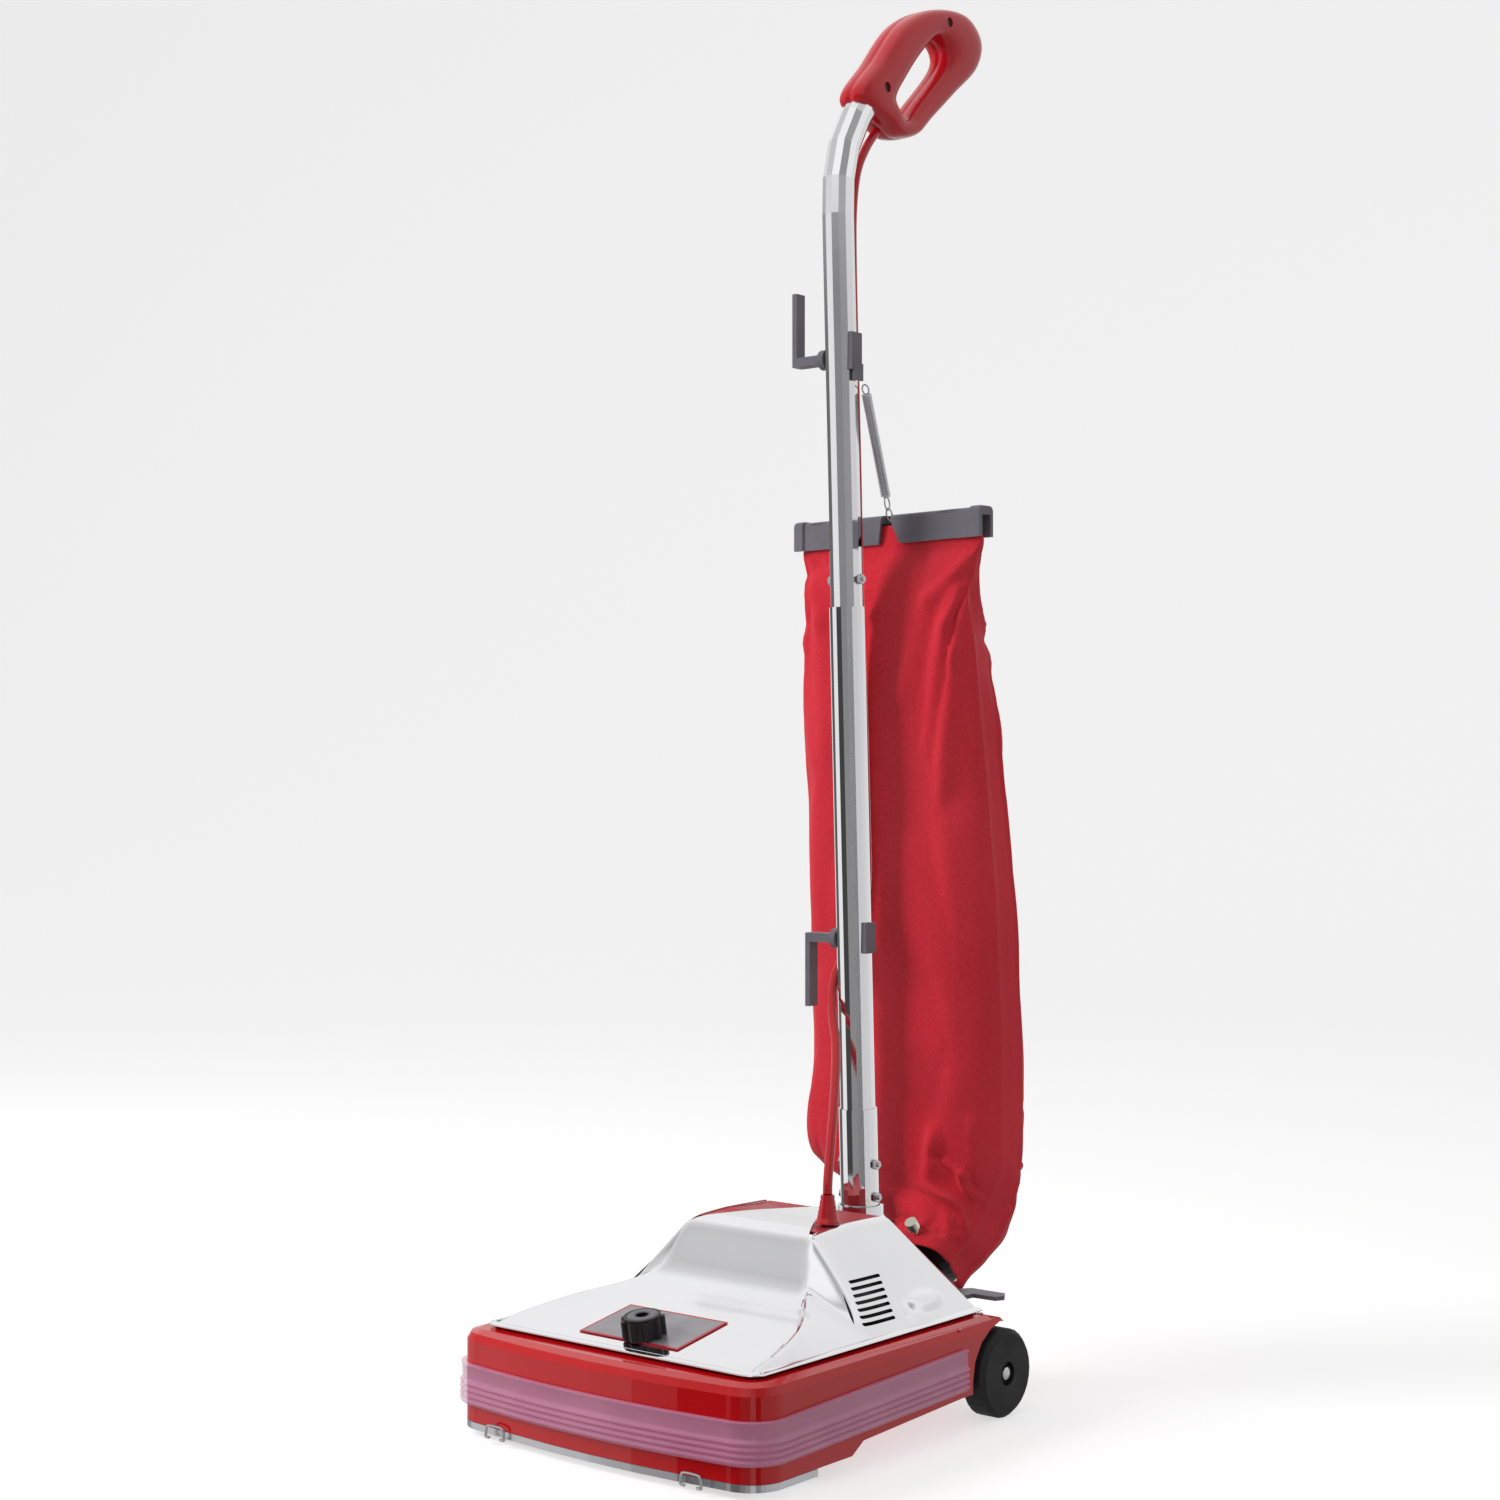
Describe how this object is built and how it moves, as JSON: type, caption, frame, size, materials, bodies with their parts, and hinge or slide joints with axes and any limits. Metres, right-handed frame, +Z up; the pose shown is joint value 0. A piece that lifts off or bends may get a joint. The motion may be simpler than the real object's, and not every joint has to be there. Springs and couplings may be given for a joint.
{
  "type": "upright vacuum cleaner",
  "caption": "Commercial upright vacuum cleaner with a red base, chrome hood, telescoped chrome handle, loop grip, hanging cloth bag, rear wheels and a height knob.",
  "frame": {"origin": "on the floor, under the middle of the overall box", "axes": "+Z up, the front of the nozzle towards -Y, the right side as the user stands behind it towards +X"},
  "size_m": [0.336, 0.5377, 1.2547],
  "materials": {
    "red_gloss": "glossy moulded red",
    "red_matte": "satin moulded dark red",
    "clear_vinyl": "translucent pink-lavender ribbed vinyl",
    "chrome": "polished",
    "label": "printed satin grey with a thin red border",
    "rubber": "matt black",
    "steel": "plain zinc",
    "copper": "lacquered winding wire and laminations",
    "black_plastic": "satin black",
    "grey_plastic": "satin mid grey",
    "brass": "nickel plated",
    "fabric": "coated woven polyester",
    "red_cable": "smooth red cable sheath",
    "bristle": "stiff nylon tufts"
  },
  "bodies": {
    "base": {"base_housing": "red_gloss", "bumper_strip": "clear_vinyl", "nozzle_plate": "chrome", "plate_clip_left": "chrome", "plate_clip_right": "chrome", "hood": "chrome", "motor_cover": "red_matte", "label_plate": "label", "rear_axle": "steel", "motor_housing": "steel", "motor_end_cap": "black_plastic", "stator": "copper", "fan_chamber": "red_matte", "drive_belt": "rubber", "brush_shaft": "steel", "brush_end_left": "black_plastic", "brush_end_right": "black_plastic", "exhaust_duct": "red_matte", "exhaust_collar": "black_plastic", "pedal_bracket": "steel", "pivot_bracket": "steel", "pivot_pin": "steel", "cord_boot": "red_cable", "neck_clamp": "brass"},
    "handle": {"handle_socket": "chrome", "lower_sleeve": "chrome", "middle_tube": "chrome", "top_tube": "chrome", "tube_bolt_socket": "steel", "tube_bolt_sleeve": "steel", "tube_bolt_top": "steel", "hook_saddle_upper": "grey_plastic", "hook_saddle_lower": "grey_plastic", "cord_hook_lower": "grey_plastic", "grip_left": "red_gloss", "grip_right": "red_gloss", "grip_screw_rear": "black_plastic", "grip_screw_front": "black_plastic", "bag_clip": "grey_plastic", "bag_spring": "steel", "dust_bag": "fabric", "lead_cord": "red_cable"},
    "rear_wheel_left": {"wheel_left": "rubber"},
    "rear_wheel_right": {"wheel_right": "rubber"},
    "carriage": {"roller_carriage": "steel", "roller_axle": "steel"},
    "roller_left": {"front_roller_left": "rubber"},
    "roller_right": {"front_roller_right": "rubber"},
    "knob": {"height_knob": "black_plastic", "height_spindle": "steel"},
    "rotor": {"motor_shaft": "steel", "fan": "steel", "rotor_core": "copper", "drive_pulley": "steel"},
    "agitator": {"brush_roll": "steel", "bristle_row_left": "bristle", "bristle_row_right": "bristle"},
    "pedal": {"release_pedal": "grey_plastic"},
    "swivel_hook": {"cord_hook_upper": "grey_plastic"},
    "switch": {"switch_rocker": "black_plastic"}
  },
  "joints": [
    {"name": "handle_tilt", "type": "hinge", "parent": "base", "child": "handle", "pos_m": [0, 0.091, 0.102], "axis": [-1, 0, 0], "range_deg": [0, 62], "deforming": ["dust_bag", "lead_cord"]},
    {"name": "rear_wheel_left_spin", "type": "hinge", "parent": "base", "child": "rear_wheel_left", "pos_m": [-0.156, 0.071, 0.037], "axis": [1, 0, 0], "continuous": true},
    {"name": "rear_wheel_right_spin", "type": "hinge", "parent": "base", "child": "rear_wheel_right", "pos_m": [0.156, 0.071, 0.037], "axis": [1, 0, 0], "continuous": true},
    {"name": "carriage_lift", "type": "hinge", "parent": "base", "child": "carriage", "pos_m": [0, -0.125, 0.039], "axis": [-1, 0, 0], "range_deg": [0, 9]},
    {"name": "roller_left_spin", "type": "hinge", "parent": "carriage", "child": "roller_left", "pos_m": [-0.104, -0.161, 0.012], "axis": [1, 0, 0], "continuous": true},
    {"name": "roller_right_spin", "type": "hinge", "parent": "carriage", "child": "roller_right", "pos_m": [0.104, -0.161, 0.012], "axis": [1, 0, 0], "continuous": true},
    {"name": "knob_turn", "type": "hinge", "parent": "base", "child": "knob", "pos_m": [0.009, -0.208, 0.0954], "axis": [0, -0.1728, 0.985], "range_deg": [0, 180]},
    {"name": "rotor_spin", "type": "hinge", "parent": "base", "child": "rotor", "pos_m": [0, -0.009, 0.072], "axis": [0, 1, 0], "continuous": true},
    {"name": "agitator_spin", "type": "hinge", "parent": "base", "child": "agitator", "pos_m": [0, -0.219, 0.029], "axis": [1, 0, 0], "continuous": true},
    {"name": "pedal_press", "type": "hinge", "parent": "base", "child": "pedal", "pos_m": [0.113, 0.053, 0.0915], "axis": [-1, 0, 0], "range_deg": [0, 8], "stiffness_Nm_per_rad": 0.6, "springref_deg": -6.88},
    {"name": "hook_swivel", "type": "hinge", "parent": "handle", "child": "swivel_hook", "pos_m": [-0.018, 0.0618, 0.908], "axis": [1, 0, 0], "range_deg": [0, 180]},
    {"name": "switch_rock", "type": "hinge", "parent": "handle", "child": "switch", "pos_m": [-0.0165, 0.138, 1.193], "axis": [0, -0.7424, 0.67], "range_deg": [0, 6]}
  ],
  "couplings": [
    {"joint": "knob_turn", "follows": "carriage_lift", "ratio": 20},
    {"joint": "agitator_spin", "follows": "rotor_spin", "ratio": 0.401}
  ]
}
